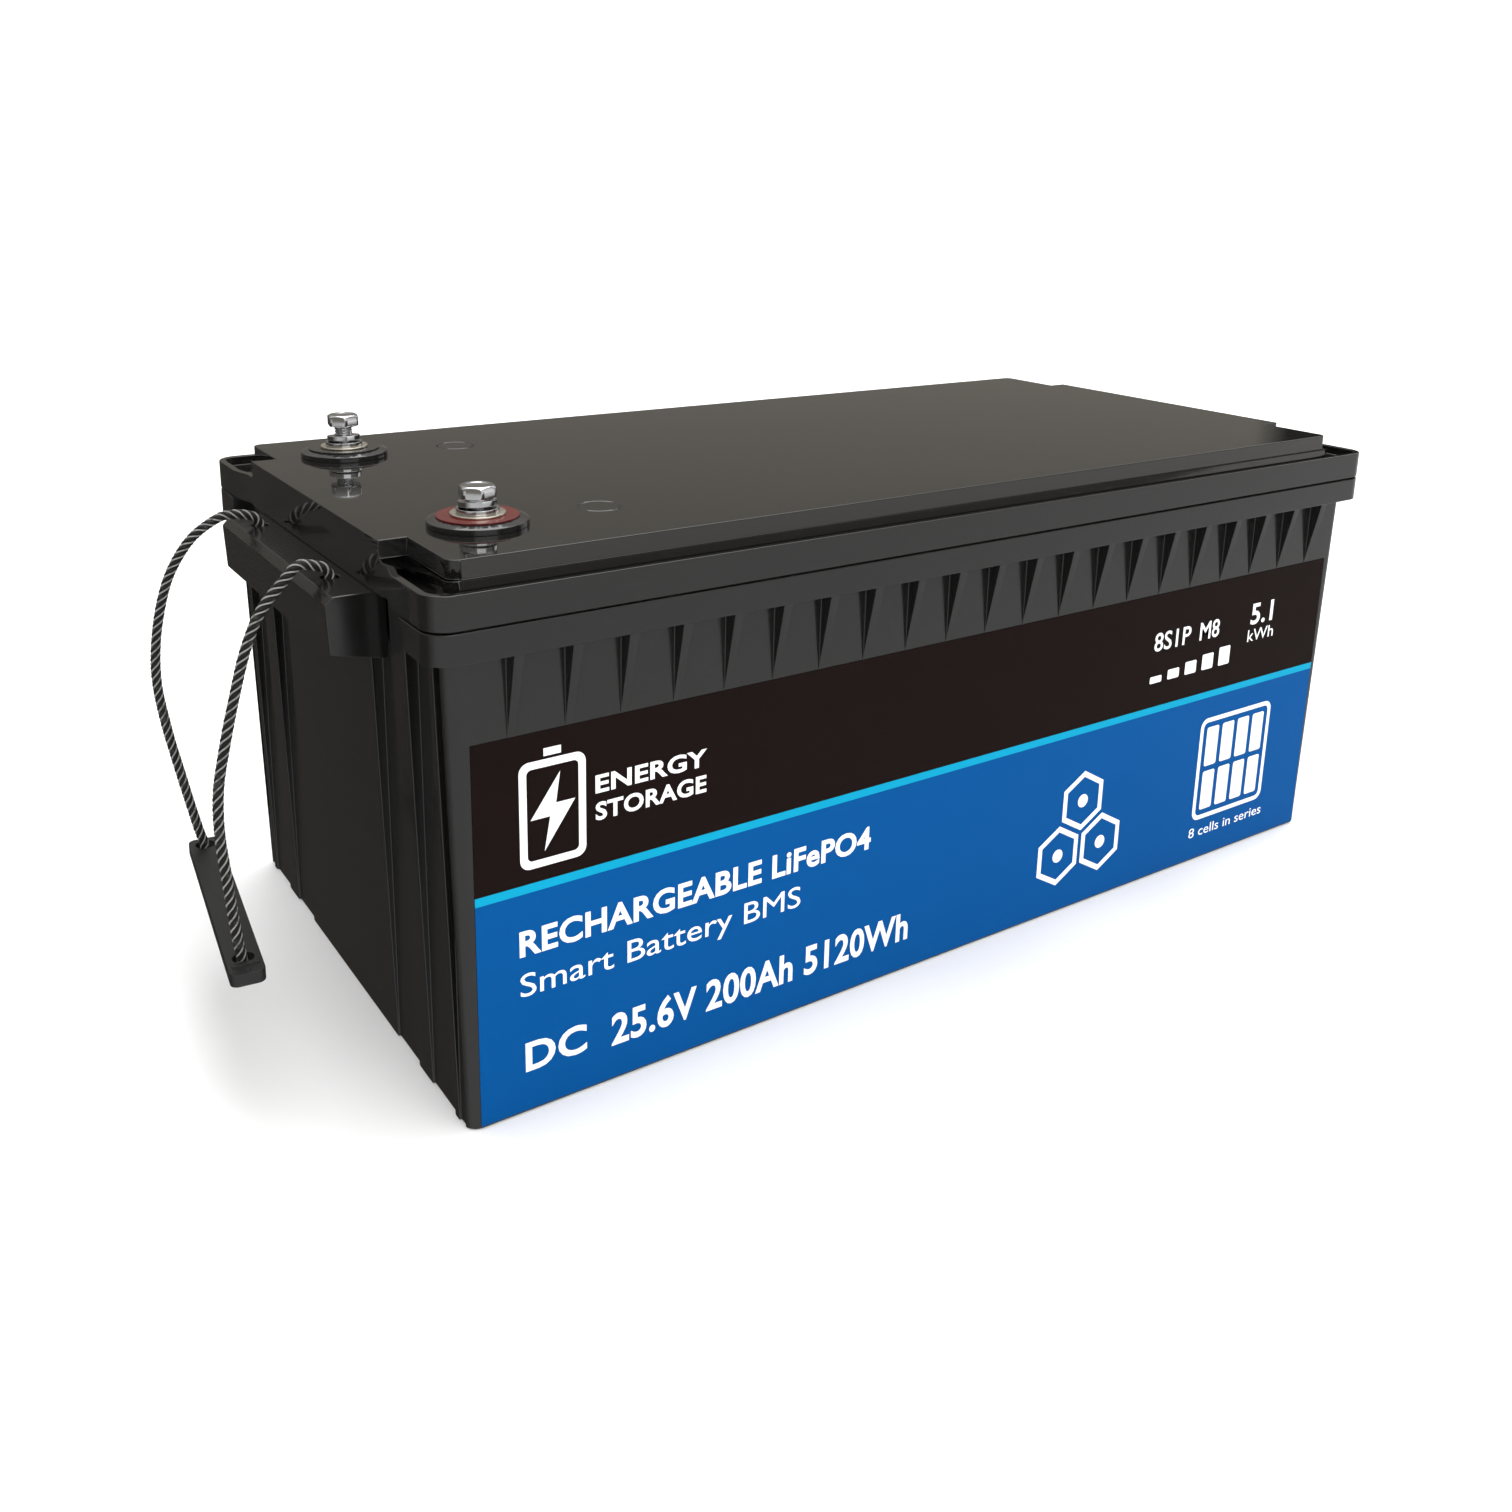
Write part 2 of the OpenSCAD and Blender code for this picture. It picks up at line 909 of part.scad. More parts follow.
at_negative() translate([0, 0, negative_lift]) bolt();  // negative_bolt
left_rope_roots();
left_knots();
left_rope_loop();
left_grip();
mirrored() left_rope_roots();  // right_rope_roots
mirrored() left_knots();  // right_knots
mirrored() left_rope_loop();  // right_rope_loop
mirrored() left_grip();  // right_grip
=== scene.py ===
"""Looks for a sealed rechargeable battery in a glossy moulded case.

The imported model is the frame. This script adds the twisted rope of each handle, the
threads of the terminal bolts, the print on the label, the materials, the studio and
the camera. Everything is in metres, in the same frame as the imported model.
"""
import math

import bpy
import numpy as np
from mathutils import Matrix, Vector


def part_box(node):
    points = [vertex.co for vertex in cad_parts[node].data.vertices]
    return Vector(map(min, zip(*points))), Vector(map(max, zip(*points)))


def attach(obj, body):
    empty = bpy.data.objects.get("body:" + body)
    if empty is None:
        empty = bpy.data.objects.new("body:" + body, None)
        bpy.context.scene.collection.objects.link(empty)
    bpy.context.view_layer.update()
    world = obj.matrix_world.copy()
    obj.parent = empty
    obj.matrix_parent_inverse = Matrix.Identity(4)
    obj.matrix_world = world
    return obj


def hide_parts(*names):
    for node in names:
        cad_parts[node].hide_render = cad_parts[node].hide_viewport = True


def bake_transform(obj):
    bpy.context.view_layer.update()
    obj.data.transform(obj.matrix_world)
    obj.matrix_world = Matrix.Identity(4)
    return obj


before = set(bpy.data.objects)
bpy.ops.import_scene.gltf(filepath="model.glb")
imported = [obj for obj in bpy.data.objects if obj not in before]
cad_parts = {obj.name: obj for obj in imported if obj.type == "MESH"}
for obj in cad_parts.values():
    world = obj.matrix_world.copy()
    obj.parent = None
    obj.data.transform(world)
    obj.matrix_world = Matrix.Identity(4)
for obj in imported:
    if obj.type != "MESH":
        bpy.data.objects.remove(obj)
bpy.context.view_layer.update()
MM = 0.001


# ---- camera ----

CAMERA_PLACE = (-0.4255, -0.5560, 0.3500)
CAMERA_YAW = 34.01
CAMERA_PITCH = 14.51
CAMERA_ROLL = 1.07
CAMERA_LENS = 33.67
CAMERA_SHIFT = (0.0147, -0.1465)


def make_camera():
    """The camera of the photo, with its turn about each axis in degrees."""
    data = bpy.data.cameras.new("camera")
    data.sensor_width = 36
    data.lens = CAMERA_LENS
    data.shift_x, data.shift_y = CAMERA_SHIFT
    data.clip_start, data.clip_end = 0.01, 50
    camera = bpy.data.objects.new("camera", data)
    bpy.context.scene.collection.objects.link(camera)
    turn = Matrix.Rotation(math.radians(-CAMERA_YAW), 4, "Z")
    tip = Matrix.Rotation(math.radians(90 - CAMERA_PITCH), 4, "X")
    roll = Matrix.Rotation(math.radians(CAMERA_ROLL), 4, "Z")
    camera.matrix_world = Matrix.Translation(CAMERA_PLACE) @ turn @ tip @ roll
    bpy.context.scene.camera = camera


make_camera()


# ---- mesh helpers ----


def new_piece(name, vertices, faces, smooth=True):
    """A mesh object in the row frame from points and faces."""
    mesh = bpy.data.meshes.new(name)
    mesh.from_pydata([tuple(map(float, v)) for v in vertices], [], faces)
    mesh.update()
    if smooth:
        mesh.shade_smooth()
    piece = bpy.data.objects.new(name, mesh)
    bpy.context.scene.collection.objects.link(piece)
    return piece


# straight steps for each stretch of a curve between two given points
CURVE_STEPS = 24


def smooth_path(points, step):
    """Points a step apart on a Catmull-Rom curve through the given points."""
    p = np.array([2 * points[0] - points[1], *points, 2 * points[-1] - points[-2]])
    t = np.linspace(0, 1, CURVE_STEPS, endpoint=False)[:, None]
    dense = []
    for a, b, c, d in zip(p[:-3], p[1:-2], p[2:-1], p[3:]):
        cubic = 2 * b + (c - a) * t + (2 * a - 5 * b + 4 * c - d) * t**2
        dense.append(0.5 * (cubic + (3 * b - a - 3 * c + d) * t**3))
    dense = np.vstack([*dense, p[-2:-1]])
    along = np.concatenate([[0], np.cumsum(np.linalg.norm(np.diff(dense, axis=0), axis=1))])
    at = np.linspace(0, along[-1], int(along[-1] / step) + 1)
    return np.stack([np.interp(at, along, dense[:, k]) for k in range(3)], axis=1)


def ring_axes(path, closed=False):
    """Two unit vectors across the path at each of its points, carried along untwisted."""
    if closed:
        tangents = np.roll(path, -1, axis=0) - np.roll(path, 1, axis=0)
    else:
        tangents = np.gradient(path, axis=0)
    tangents = tangents / np.linalg.norm(tangents, axis=1)[:, None]
    side = np.cross(tangents[0], (0.37, 0.81, 0.45))
    sides = []
    for t in tangents:
        side = side - (side @ t) * t
        side = side / np.linalg.norm(side)
        sides.append(side)
    sides = np.array(sides)
    return sides, np.cross(tangents, sides)


# ---- ropes: six strands, pale and black in turn, laid round each other ----

ROPE_DIAMETER = 4.2 * MM
ROPE_LAY = 11 * MM
ROPE_STRANDS = 6
STRAND_RADII = (0.42 * MM, 0.93 * MM)
STRAND_SIDES = 7
RINGS_PER_LAY = 14
# how much wider than thick a strand lies, and how much its thickness varies
STRAND_FLATNESS = 1.15
STRAND_WOBBLE = 0.05


def rope_mesh(name, path, closed=False):
    """Twisted rope along a path: one tube for each strand, with a UV map along and round it."""
    across, over = ring_axes(path, closed)
    steps = np.linalg.norm(np.diff(path, axis=0), axis=1)
    along = np.concatenate([[0], np.cumsum(steps)])
    corner = 2 * np.pi * np.arange(STRAND_SIDES) / STRAND_SIDES
    vertices, faces, shades, uvs = [], [], [], []
    for strand in range(ROPE_STRANDS):
        turn = 2 * np.pi * (along / ROPE_LAY + strand / ROPE_STRANDS)
        wobble = 1 + STRAND_WOBBLE * np.sin(along / MM * 0.9 + 2.1 * strand)
        radius = STRAND_RADII[strand % 2]
        orbit = ROPE_DIAMETER / 2 - radius
        out = np.cos(turn)[:, None] * across + np.sin(turn)[:, None] * over
        round_it = np.cross(np.cross(across, over), out)
        centre = path + orbit * out
        first = len(vertices)
        for i in range(len(path)):
            for a in corner:
                reach = radius * wobble[i] * np.cos(a) * out[i]
                lean = radius * STRAND_FLATNESS * np.sin(a) * round_it[i]
                vertices.append(centre[i] + reach + lean)
        rings = len(path) if closed else len(path) - 1
        for i in range(rings):
            j = (i + 1) % len(path)
            for k in range(STRAND_SIDES):
                m = (k + 1) % STRAND_SIDES
                a, b = first + i * STRAND_SIDES, first + j * STRAND_SIDES
                faces.append((a + k, a + m, b + m, b + k))
                shades.append(strand % 2)
                low, high = along[i] / MM, (along[i] + steps[min(i, len(steps) - 1)]) / MM
                u0, u1 = k / STRAND_SIDES, (k + 1) / STRAND_SIDES
                uvs += [(low, u0), (low, u1), (high, u1), (high, u0)]
        if not closed:
            last = first + (len(path) - 1) * STRAND_SIDES
            faces.append(tuple(first + k for k in reversed(range(STRAND_SIDES))))
            faces.append(tuple(last + k for k in range(STRAND_SIDES)))
            shades += [strand % 2] * 2
            uvs += [(0, 0)] * (2 * STRAND_SIDES)
    piece = new_piece(name, vertices, faces)
    layer = piece.data.uv_layers.new(name="strand")
    layer.data.foreach_set("uv", np.array(uvs, np.float32).ravel())
    piece.data.materials.append(MATERIALS["rope_pale"])
    piece.data.materials.append(MATERIALS["rope_black"])
    piece.data.polygons.foreach_set("material_index", shades)
    return piece


# ---- shader helpers ----


def add(tree, kind, inputs=(), **settings):
    """A new shader node; an input is a value or another node's output."""
    made = tree.nodes.new(kind)
    for key, value in settings.items():
        setattr(made, key, value)
    for key, value in dict(inputs).items():
        if isinstance(value, bpy.types.NodeSocket):
            tree.links.new(value, made.inputs[key])
        else:
            made.inputs[key].default_value = value
    return made


def rgba(colour):
    """A colour with full alpha."""
    return (*colour, 1.0)


def place(tree, stretch=(1, 1, 1)):
    """The object's own coordinates, stretched."""
    coords = add(tree, "ShaderNodeTexCoord").outputs["Object"]
    return add(tree, "ShaderNodeMapping", {"Vector": coords, "Scale": stretch}).outputs["Vector"]


def noise(tree, where, scale, detail=3.0, roughness=0.55):
    """Noise from 0 to 1."""
    made = add(tree, "ShaderNodeTexNoise",
               {"Vector": where, "Scale": scale, "Detail": detail, "Roughness": roughness})
    return made.outputs["Fac"]


def remap(tree, value, low, high, to_low, to_high):
    """A value taken from one range to another and kept inside it."""
    made = add(tree, "ShaderNodeMapRange",
               {"Value": value, "From Min": low, "From Max": high, "To Min": to_low, "To Max": to_high})
    return made.outputs["Result"]


def mix(tree, share, a, b):
    """A colour between two others."""
    made = add(tree, "ShaderNodeMix", data_type="RGBA")
    for key, value in ((0, share), (6, a), (7, b)):
        if isinstance(value, bpy.types.NodeSocket):
            tree.links.new(value, made.inputs[key])
        else:
            made.inputs[key].default_value = value
    return made.outputs[2]


def maths(tree, operation, a, b=0.0):
    """The result of one operation on two values."""
    made = add(tree, "ShaderNodeMath", operation=operation)
    for key, value in ((0, a), (1, b)):
        if isinstance(value, bpy.types.NodeSocket):
            tree.links.new(value, made.inputs[key])
        else:
            made.inputs[key].default_value = value
    return made.outputs["Value"]


def bump(tree, height, distance, strength=1.0, under=None):
    """A normal bent by a height, on top of another bent normal if one is given."""
    inputs = {"Height": height, "Distance": distance, "Strength": strength}
    if under is not None:
        inputs["Normal"] = under
    return add(tree, "ShaderNodeBump", inputs).outputs["Normal"]


def start(name):
    """A new material, with its node tree and its shader."""
    made = bpy.data.materials.new(name)
    made.use_nodes = True
    return made, made.node_tree, made.node_tree.nodes["Principled BSDF"]


def feed(tree, shader, **sockets):
    """Sets or links the shader's own sockets; an underscore stands for a space."""
    for key, value in sockets.items():
        socket = shader.inputs[key.replace("_", " ")]
        if isinstance(value, bpy.types.NodeSocket):
            tree.links.new(value, socket)
        else:
            socket.default_value = value


# ---- materials ----


def moulded(name, dark, light, gloss=(0.12, 0.22), grain=0.006, wave=0.12, ior=1.5):
    """Moulded plastic: faint flow marks, fine orange peel, soft waves and a few rubbed spots."""
    made, tree, shader = start(name)
    where = place(tree)
    flow = noise(tree, place(tree, (6, 6, 14)), 1.6, 5)
    rubs = noise(tree, place(tree, (30, 30, 160)), 4, 6, 0.7)
    specks = noise(tree, where, 1400, 2)
    scuffed = remap(tree, rubs, 0.58, 0.74, 0.0, 1.0)
    tone = mix(tree, flow, rgba(dark), rgba(light))
    lighter = rgba([min(1.0, c * 1.6 + 0.004) for c in light])
    colour = mix(tree, maths(tree, "MULTIPLY", scuffed, 0.35), tone, lighter)
    rough = remap(tree, flow, 0.3, 0.7, *gloss)
    rough = maths(tree, "ADD", rough, maths(tree, "MULTIPLY", scuffed, 0.08))
    waves = bump(tree, noise(tree, where, 11, 1), wave * MM)
    peel = bump(tree, noise(tree, where, 420, 2), grain * MM, 1.0, waves)
    fine = bump(tree, specks, grain * 0.5 * MM, 1.0, peel)
    feed(tree, shader, Base_Color=colour, Roughness=rough, Normal=fine, IOR=ior)
    return made


def metal(name, dark, light, gloss=(0.14, 0.3), turned=True):
    """Plated or bare metal with tool marks that run round Z or along the piece."""
    made, tree, shader = start(name)
    stretch = (40, 40, 900) if turned else (30, 900, 900)
    marks = noise(tree, place(tree, stretch), 2, 4)
    cloud = noise(tree, place(tree), 160, 4)
    spots = remap(tree, noise(tree, place(tree), 900, 2), 0.62, 0.8, 0.0, 0.5)
    tone = mix(tree, cloud, rgba(dark), rgba(light))
    colour = mix(tree, spots, tone, rgba([c * 0.55 for c in dark]))
    rough = remap(tree, marks, 0.3, 0.7, *gloss)
    normal = bump(tree, marks, 0.012 * MM)
    feed(tree, shader, Base_Color=colour, Roughness=rough, Metallic=1.0, Normal=normal)
    return made


def soft(name, dark, light, scale, depth, gloss=(0.6, 0.85), stretch=(1, 1, 1)):
    """Rubber, foam, paper or fabric: matt, with pores or fibres of one scale."""
    made, tree, shader = start(name)
    pores = noise(tree, place(tree, stretch), scale, 5, 0.65)
    patches = noise(tree, place(tree), 22, 3)
    colour = mix(tree, patches, rgba(dark), rgba(light))
    colour = mix(tree, remap(tree, pores, 0.55, 0.75, 0.0, 0.6), colour, rgba([c * 0.5 for c in dark]))
    rough = remap(tree, pores, 0.3, 0.7, *gloss)
    feed(tree, shader, Base_Color=colour, Roughness=rough, Normal=bump(tree, pores, depth * MM))
    return made


# heights of the printed zones of the label above the floor
STRIPE_LOW = 91.8 * MM
STRIPE_HIGH = 95.3 * MM


def label_film():
    """Printed film: a black field over a blue one, with a light blue stripe between."""
    made, tree, shader = start("label_film")
    coords = add(tree, "ShaderNodeTexCoord").outputs["Object"]
    height = add(tree, "ShaderNodeSeparateXYZ", {"Vector": coords}).outputs["Z"]
    grain = noise(tree, place(tree), 2600, 2)
    cloud = noise(tree, place(tree, (5, 1, 9)), 3, 3)
    black = mix(tree, cloud, (0.0072, 0.0040, 0.0033, 1), (0.0096, 0.0052, 0.0043, 1))
    blue = mix(tree, cloud, (0.0006, 0.064, 0.228, 1), (0.0009, 0.070, 0.250, 1))
    stripe = mix(tree, cloud, (0.003, 0.27, 0.44, 1), (0.005, 0.30, 0.48, 1))
    above_low = maths(tree, "GREATER_THAN", height, STRIPE_LOW)
    above_high = maths(tree, "GREATER_THAN", height, STRIPE_HIGH)
    colour = mix(tree, above_high, mix(tree, above_low, blue, stripe), black)
    rough = remap(tree, cloud, 0.3, 0.7, 0.32, 0.42)
    normal = bump(tree, grain, 0.004 * MM, 1.0, bump(tree, noise(tree, place(tree), 14, 2), 0.08 * MM))
    feed(tree, shader, Base_Color=colour, Roughness=rough, Normal=normal, Specular_IOR_Level=0.03)
    return made


def ink():
    """White print on the label."""
    made, tree, shader = start("white_ink")
    cloud = noise(tree, place(tree), 60, 4)
    colour = mix(tree, cloud, (0.80, 0.81, 0.83, 1), (0.90, 0.905, 0.92, 1))
    rough = remap(tree, cloud, 0.3, 0.7, 0.35, 0.5)
    normal = bump(tree, noise(tree, place(tree), 2200, 2), 0.004 * MM)
    feed(tree, shader, Base_Color=colour, Roughness=rough, Normal=normal)
    return made


def strand(name, dark, light, fleck):
    """Rope yarn: fine fibres lying aslant along the strand, some in another shade."""
    made, tree, shader = start(name)
    coords = add(tree, "ShaderNodeTexCoord").outputs["UV"]
    aslant = add(tree, "ShaderNodeMapping",
                 {"Vector": coords, "Scale": (0.55, 5, 1), "Rotation": (0, 0, 0.5)}).outputs["Vector"]
    fibres = noise(tree, aslant, 7, 3, 0.6)
    blots = noise(tree, place(tree), 260, 3)
    colour = mix(tree, fibres, rgba(dark), rgba(light))
    colour = mix(tree, remap(tree, blots, 0.56, 0.68, 0.0, 0.7), colour, rgba(fleck))
    feed(tree, shader, Base_Color=colour, Roughness=remap(tree, fibres, 0.3, 0.7, 0.5, 0.75),
         Normal=bump(tree, fibres, 0.12 * MM), Sheen_Weight=0.04, Specular_IOR_Level=0.25)
    return made


def circuit_board():
    """Green solder mask over a maze of tracks, with pale print and tinned pads."""
    made, tree, shader = start("circuit_board")
    where = place(tree)
    tracks = add(tree, "ShaderNodeTexBrick",
                 {"Vector": place(tree, (1, 1, 1)), "Scale": 90, "Mortar Size": 0.06,
                  "Color1": (0, 0, 0, 1), "Color2": (0.25, 0.25, 0.25, 1), "Mortar": (1, 1, 1, 1)})
    pads = add(tree, "ShaderNodeTexVoronoi", {"Vector": where, "Scale": 170, "Randomness": 0.4})
    dot = remap(tree, pads.outputs["Distance"], 0.16, 0.2, 1.0, 0.0)
    green = mix(tree, noise(tree, where, 40, 3), (0.010, 0.085, 0.028, 1), (0.014, 0.12, 0.04, 1))
    lined = mix(tree, maths(tree, "MULTIPLY", tracks.outputs["Fac"], 0.6), green, (0.03, 0.24, 0.09, 1))
    colour = mix(tree, dot, lined, (0.62, 0.6, 0.52, 1))
    feed(tree, shader, Base_Color=colour, Metallic=maths(tree, "MULTIPLY", dot, 0.8),
         Roughness=remap(tree, noise(tree, where, 90, 3), 0.3, 0.7, 0.25, 0.45),
         Normal=bump(tree, tracks.outputs["Fac"], 0.03 * MM))
    return made


MATERIALS = {
    "case_plastic": moulded("case_plastic", (0.0052, 0.005, 0.0048), (0.0082, 0.0079, 0.0076),
                            gloss=(0.13, 0.23)),
    "lid_plastic": moulded("lid_plastic", (0.006, 0.0058, 0.0055), (0.0092, 0.0088, 0.0083),
                           gloss=(0.03, 0.06), grain=0.002, wave=0.05),
    "black_plastic": moulded("black_plastic", (0.008, 0.008, 0.008), (0.013, 0.013, 0.0125),
                             gloss=(0.1, 0.2), wave=0.02),
    "red_plastic": moulded("red_plastic", (0.07, 0.002, 0.0015), (0.105, 0.004, 0.0025),
                           gloss=(0.16, 0.26), wave=0.02),
    "grip_plastic": moulded("grip_plastic", (0.009, 0.009, 0.009), (0.014, 0.014, 0.0138),
                            gloss=(0.34, 0.5), grain=0.02, wave=0.03, ior=1.38),
    "label_film": label_film(),
    "seal_rubber": soft("seal_rubber", (0.012, 0.012, 0.012), (0.02, 0.02, 0.02), 900, 0.02),
    "cell_film": moulded("cell_film", (0.016, 0.075, 0.26), (0.022, 0.1, 0.33),
                         gloss=(0.25, 0.4), wave=0.25),
    "insulator_sheet": soft("insulator_sheet", (0.55, 0.5, 0.38), (0.68, 0.62, 0.48), 500, 0.03,
                            stretch=(1, 4, 1)),
    "plate_aluminium": metal("plate_aluminium", (0.55, 0.56, 0.57), (0.68, 0.69, 0.7),
                             gloss=(0.28, 0.42), turned=False),
    "steel": metal("steel", (0.40, 0.403, 0.412), (0.55, 0.553, 0.563), gloss=(0.10, 0.18)),
    "brass": metal("brass", (0.54, 0.50, 0.42), (0.70, 0.66, 0.57), gloss=(0.2, 0.34)),
    "copper": metal("copper", (0.62, 0.26, 0.12), (0.78, 0.38, 0.2), gloss=(0.24, 0.36), turned=False),
    "red_cable": soft("red_cable", (0.33, 0.015, 0.01), (0.45, 0.03, 0.018), 400, 0.01, (0.35, 0.5)),
    "black_cable": soft("black_cable", (0.012, 0.012, 0.013), (0.02, 0.02, 0.021), 400, 0.01, (0.35, 0.5)),
    "foam": soft("foam", (0.07, 0.072, 0.076), (0.11, 0.112, 0.116), 700, 0.25),
    "circuit_board": circuit_board(),
    "rope": strand("rope_mixed", (0.08, 0.08, 0.08), (0.3, 0.3, 0.3), (0.02, 0.02, 0.02)),
    "rope_pale": strand("rope_pale", (0.13, 0.126, 0.12), (0.40, 0.39, 0.375), (0.02, 0.02, 0.02)),
    "rope_black": strand("rope_black", (0.003, 0.003, 0.003), (0.009, 0.009, 0.009), (0.04, 0.04, 0.039)),
    "white_ink": ink(),
}


# widths of the rounded edges in millimetres
MOULDED_EDGES = {"container": 0.5, "lid": 0.4, "left_grip": 0.5, "right_grip": 0.5}
FINE_EDGE = 0.18
PLAIN_EDGE = 0.25
FINE_PARTS = ("bolt", "washer", "bushing", "collar", "ring")


def finish_cad_nodes():
    """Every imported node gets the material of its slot, and rounded edges as wide as its kind has."""
    for name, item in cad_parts.items():
        slot = item.data.materials[0].name.split(".")[0]
        item.data.materials[0] = MATERIALS[slot]
        plain = FINE_EDGE if name.endswith(FINE_PARTS) else PLAIN_EDGE
        soften_edges(item, MOULDED_EDGES.get(name, plain) * MM, clamped=name not in ("container", "lid"))


def soften_edges(item, width, clamped):
    """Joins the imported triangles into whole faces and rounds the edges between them."""
    weld = item.modifiers.new("weld", "WELD")
    weld.merge_threshold = 0.002 * MM
    flat = item.modifiers.new("flat", "DECIMATE")
    flat.decimate_type = "DISSOLVE"
    flat.angle_limit = math.radians(0.4)
    edge = item.modifiers.new("edge", "BEVEL")
    edge.width = width
    edge.segments = 2
    edge.limit_method = "ANGLE"
    edge.angle_limit = math.radians(32)
    edge.use_clamp_overlap = clamped
    edge.harden_normals = False
    shade = item.modifiers.new("shade", "WEIGHTED_NORMAL")
    shade.keep_sharp = False
    item.data.shade_smooth()


# ---- handles ----

# the line that each handle turns about lies this far out and up
HINGE_X = 277
HINGE_Z = 201
HOLE_X = 265
HOLE_Y = 46

# the rope's route on the left: X and Z from that line, Y from the middle, in millimetres
BACK_LEG = [(-6, 46, 1.8), (-16.3, 46, -4.9), (-24.4, 46, -15.6), (-29.7, 46, -27.8),
            (-33.9, 45.7, -45.6), (-35.4, 45.4, -64), (-33.4, 45, -84.3), (-29.1, 44.5, -108.8),
            (-24.3, 44, -133.6)]
BACK_TURN = [(-22.4, 43.6, -141.5), (-21.9, 42.5, -145.6), (-22.2, 38.8, -147)]
GRIP_RUN = [(-24.1, 22, -147), (-28, -14, -147)]
FRONT_TURN = [(-32, -51, -147), (-32.9, -56.2, -145.6), (-33.6, -58, -141.8)]
FRONT_LEG = [(-34.8, -58.4, -133), (-36.4, -58, -112.4), (-37.6, -56.8, -92.3),
             (-36.6, -55.2, -76.2), (-32.9, -53.2, -60.7), (-27.7, -51.2, -42.8),
             (-21.7, -49.4, -24.8), (-15.1, -48, -12), (-6.2, -46.6, -2.6)]
# from the knot under the block up through its hole and over, in the same terms
ROOT = [(12, 0, -15), (12, 0, -9), (12, 0, -4), (10.4, 0, 0.2), (6, 0, 2.2), (0, 0, 2.9)]
KNOT_DROP = 17
KNOT_STEPS = 96
KNOT_STRETCH = (1.15, 1.15, 1.3)


def rope_route(side):
    """The rope's centreline from one knot to the other, on the left or the right."""
    back = [(x, HOLE_Y, z) for x, _, z in ROOT]
    front = [(x, -HOLE_Y, z) for x, _, z in reversed(ROOT)]
    route = back + BACK_LEG + BACK_TURN + GRIP_RUN + FRONT_TURN + FRONT_LEG + front
    turned = [(side * (HINGE_X - x), y, HINGE_Z + z) for x, y, z in route]
    return smooth_path(np.array(turned, float) * MM, ROPE_LAY / RINGS_PER_LAY)


def knot(name, side, y):
    """An overhand knot pulled up under the block."""
    t = np.linspace(0, 2 * np.pi, KNOT_STEPS, endpoint=False)
    loops = np.stack([np.sin(t) + 2 * np.sin(2 * t), np.cos(t) - 2 * np.cos(2 * t), -np.sin(3 * t)], axis=1)
    centre = np.array([side * HOLE_X, y, HINGE_Z - KNOT_DROP])
    piece = rope_mesh(name, (centre + loops * KNOT_STRETCH) * MM, closed=True)
    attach(piece, "case")
    return piece


def make_rope(hand, side):
    """One rope with its knots."""
    path = rope_route(side)
    rope = rope_mesh(hand + "_rope", path)
    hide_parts(hand + "_rope_roots", hand + "_rope_loop")
    knots = [knot(f"{hand}_knot_{where}", side, y) for where, y in (("back", HOLE_Y), ("front", -HOLE_Y))]
    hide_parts(hand + "_knots")
    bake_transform(rope)


for hand, side in (("left", -1), ("right", 1)):
    make_rope(hand, side)

finish_cad_nodes()


# ---- terminal bolts with their threads ----

THREAD_PITCH = 1.25 * MM
THREAD_DEPTH = 0.6 * MM
RINGS_PER_PITCH = 10
SHANK_RADIUS = 3.98 * MM
HEAD_FLATS = 13 * MM
HEAD_HEIGHT = 5.3 * MM
HEAD_TURN = 18
HEAD_CHAMFER = 0.94 * HEAD_FLATS / 2
WASHER_FACE = 0.96 * HEAD_FLATS / 2
BOLT_SIDES = 72
BOLT_TURN = 2 * np.pi * np.arange(BOLT_SIDES) / BOLT_SIDES


def lathe(name, rings):
    """A closed body from rings of points, each ring the same count, capped at both ends."""
    count = len(rings[0])
    vertices = np.vstack(rings)
    faces = []
    for i in range(len(rings) - 1):
        for k in range(count):
            m = (k + 1) % count
            faces.append((i * count + k, i * count + m, (i + 1) * count + m, (i + 1) * count + k))
    last = (len(rings) - 1) * count
    faces.append(tuple(reversed(range(count))))
    faces.append(tuple(last + k for k in range(count)))
    return new_piece(name, vertices, faces)


def bolt_ring(middle, radius, height):
    """Points once round a bolt; the radius and the height may change on the way."""
    radius = np.broadcast_to(radius, BOLT_TURN.shape)
    height = np.broadcast_to(height, BOLT_TURN.shape)
    x, y = middle.x + radius * np.cos(BOLT_TURN), middle.y + radius * np.sin(BOLT_TURN)
    return np.stack([x, y, height], axis=1)


def thread_rings(middle, low, head_low):
    """The shank from its tip up to the head, with the thread winding round it."""
    rings = []
    for i in range(int((head_low - low) / THREAD_PITCH * RINGS_PER_PITCH) + 1):
        z = low + i * THREAD_PITCH / RINGS_PER_PITCH
        phase = (i / RINGS_PER_PITCH - BOLT_TURN / (2 * np.pi)) % 1
        crest = 1 - np.abs(2 * phase - 1)
        fade = min(1.0, (head_low - z) / (0.8 * MM), (z - low) / (1.2 * MM) + 0.15)
        depth = THREAD_DEPTH * (1 - np.clip(crest * 1.25, 0, 1)) * fade
        tip = 0.5 * MM * max(0.0, 1 - (z - low) / (1.0 * MM))
        rings.append(bolt_ring(middle, SHANK_RADIUS - depth - tip, z))
    return rings


